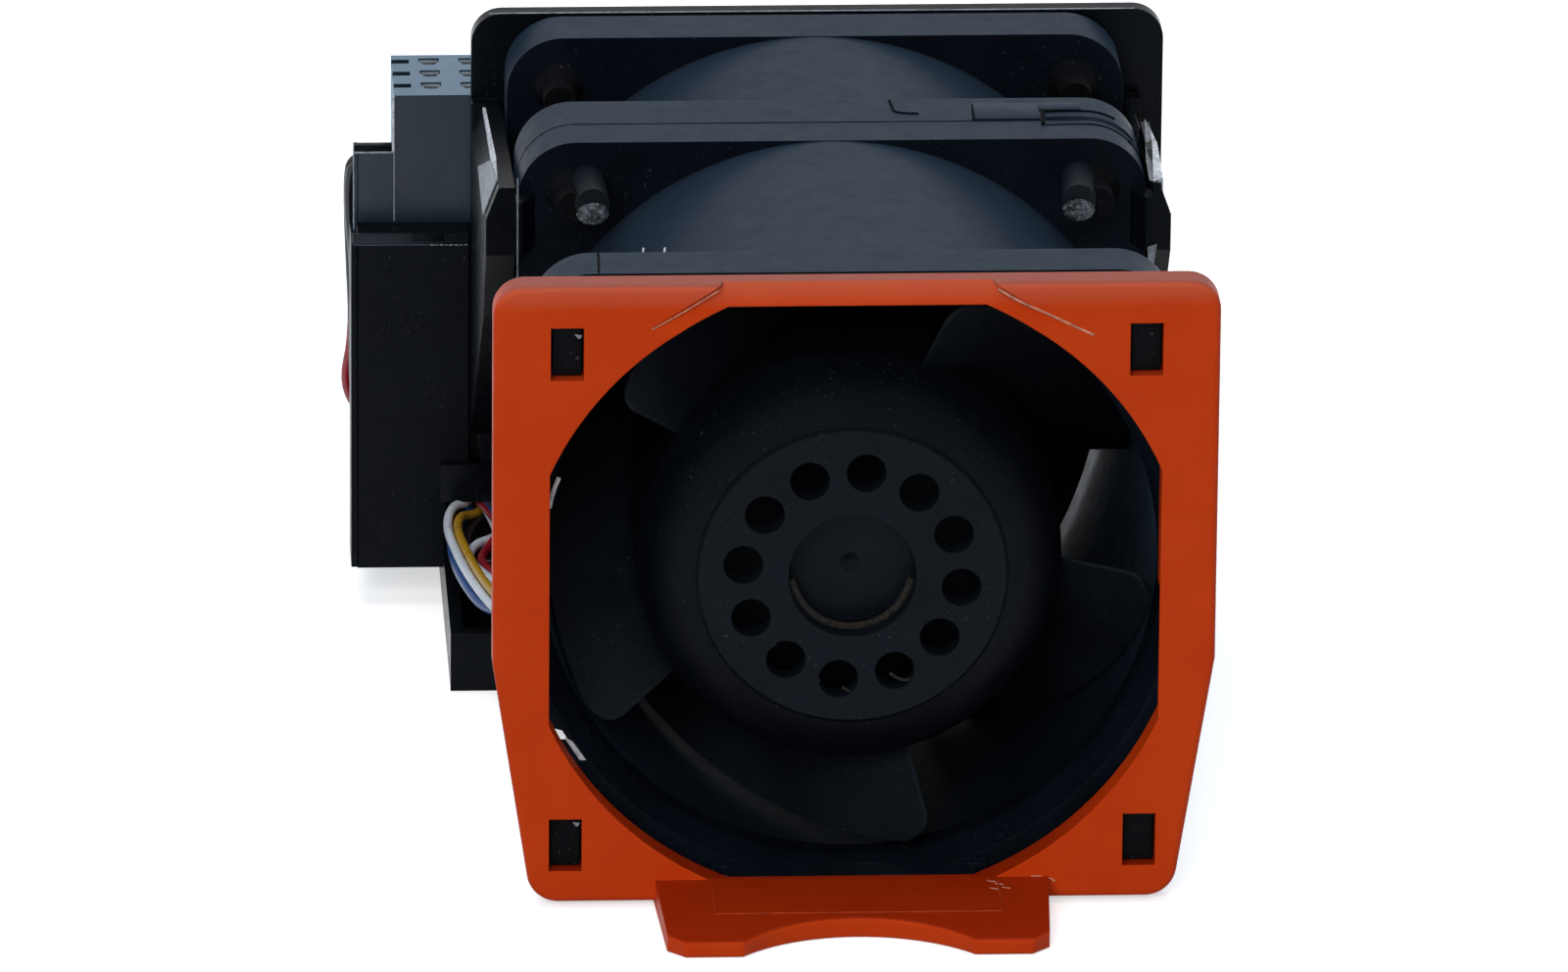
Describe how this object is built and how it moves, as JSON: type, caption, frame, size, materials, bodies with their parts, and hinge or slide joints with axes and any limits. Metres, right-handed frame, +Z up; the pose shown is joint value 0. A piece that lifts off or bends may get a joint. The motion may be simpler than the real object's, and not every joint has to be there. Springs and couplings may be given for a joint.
{
  "type": "server fan module",
  "caption": "Hot-plug server fan module: counter-rotating fans in series between an orange finger-tab bezel and a black carrier with a side power connector.",
  "frame": {"origin": "on the fan axis, in the front face of the bezel, at the centre of the air inlet", "axes": "+Z up with the finger tab below, +Y along the airflow from the bezel to the carrier, +X to the right as seen from the bezel"},
  "size_m": [0.0796, 0.1123, 0.0619],
  "materials": {
    "bearing_steel": "ground",
    "brass": "turned",
    "carrier_plastic": "satin moulded",
    "circuit_board": "solder mask",
    "connector_plastic": "matte",
    "contact_metal": "plated",
    "core_steel": "laminated",
    "fan_frame_plastic": "satin moulded",
    "impeller_plastic": "satin moulded",
    "lead_black": "satin",
    "lead_blue": "satin",
    "lead_red": "satin",
    "lead_white": "satin",
    "lead_yellow": "satin",
    "magnet": "bonded ferrite",
    "motor_steel": "plated",
    "orange_plastic": "satin moulded",
    "rubber": "matte",
    "winding_copper": "enamelled"
  },
  "bodies": {
    "module": {"bezel": "orange_plastic", "connector_block": "connector_plastic", "connector_contacts": "contact_metal", "connector_housing": "carrier_plastic", "front_ball_bearings": "bearing_steel", "front_bearing_tube": "brass", "front_circuit_board": "circuit_board", "front_housing": "fan_frame_plastic", "front_isolators": "rubber", "front_lead_black": "lead_black", "front_lead_blue": "lead_blue", "front_lead_red": "lead_red", "front_lead_white": "lead_white", "front_stator_core": "core_steel", "front_windings": "winding_copper", "rear_ball_bearings": "bearing_steel", "rear_bearing_tube": "brass", "rear_circuit_board": "circuit_board", "rear_frame": "carrier_plastic", "rear_housing": "fan_frame_plastic", "rear_isolators": "rubber", "rear_lead_black": "lead_black", "rear_lead_blue": "lead_blue", "rear_lead_white": "lead_white", "rear_lead_yellow": "lead_yellow", "rear_stator_core": "core_steel", "rear_windings": "winding_copper", "seam_rivets": "rubber"},
    "front_rotor": {"front_impeller": "impeller_plastic", "front_magnet_ring": "magnet", "front_retaining_ring": "motor_steel", "front_rotor_yoke": "motor_steel", "front_shaft": "bearing_steel"},
    "rear_rotor": {"rear_impeller": "impeller_plastic", "rear_magnet_ring": "magnet", "rear_retaining_ring": "motor_steel", "rear_rotor_yoke": "motor_steel", "rear_shaft": "bearing_steel"}
  },
  "joints": [
    {"name": "front_rotor_spin", "type": "hinge", "parent": "module", "child": "front_rotor", "pos_m": [0, 0.03, 0], "axis": [0, 1, 0], "continuous": true},
    {"name": "rear_rotor_spin", "type": "hinge", "parent": "module", "child": "rear_rotor", "pos_m": [0, 0.065, 0], "axis": [0, 1, 0], "continuous": true}
  ]
}
